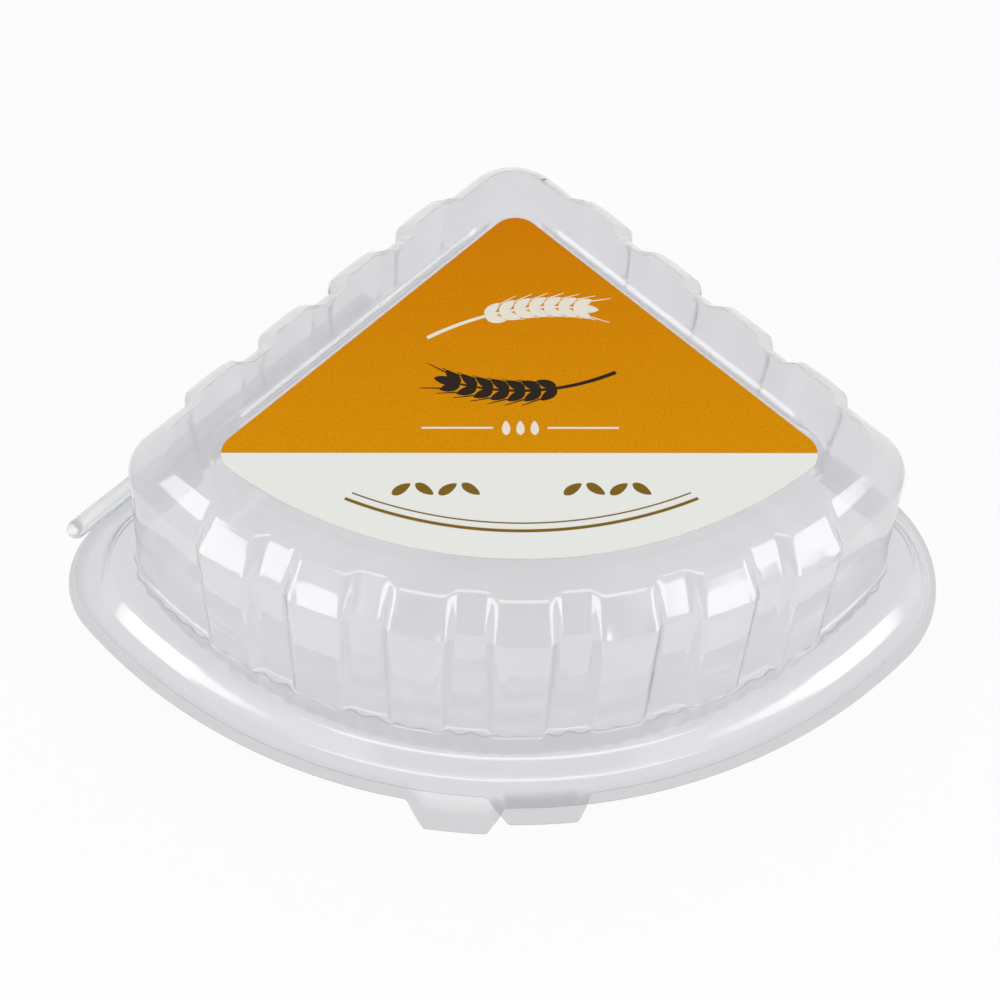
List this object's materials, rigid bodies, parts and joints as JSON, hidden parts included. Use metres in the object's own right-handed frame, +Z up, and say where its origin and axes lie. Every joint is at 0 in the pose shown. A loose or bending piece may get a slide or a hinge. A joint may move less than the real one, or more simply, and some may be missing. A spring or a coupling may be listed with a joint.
{
  "type": "triangular cake slice container",
  "caption": "Clear hinged food pack for a wedge of cake: quarter-round tray and high fluted lid that swings on a side hinge, with opening tabs and a flat top label.",
  "frame": {"origin": "middle of the underside of the tray floor, on the plane that halves the wedge, at table level", "axes": "+X across the widest part of the front arc, -Y towards the front arc and its tabs, +Y towards the point of the wedge, +Z up"},
  "size_m": [0.1974, 0.1576, 0.067],
  "materials": {
    "clear_sheet": "clear, glossy thermoformed sheet",
    "label_paper": "satin printed label, orange field over a white front band"
  },
  "bodies": {
    "base": {"base_tray": "clear_sheet"},
    "lid": {"lid": "clear_sheet", "label": "label_paper"}
  },
  "joints": [
    {"name": "lid_hinge", "type": "hinge", "parent": "base", "child": "lid", "pos_m": [-0.06845, 0.02345, 0.018], "axis": [-0.7071, -0.7071, 0], "range_deg": [0, 180]}
  ]
}
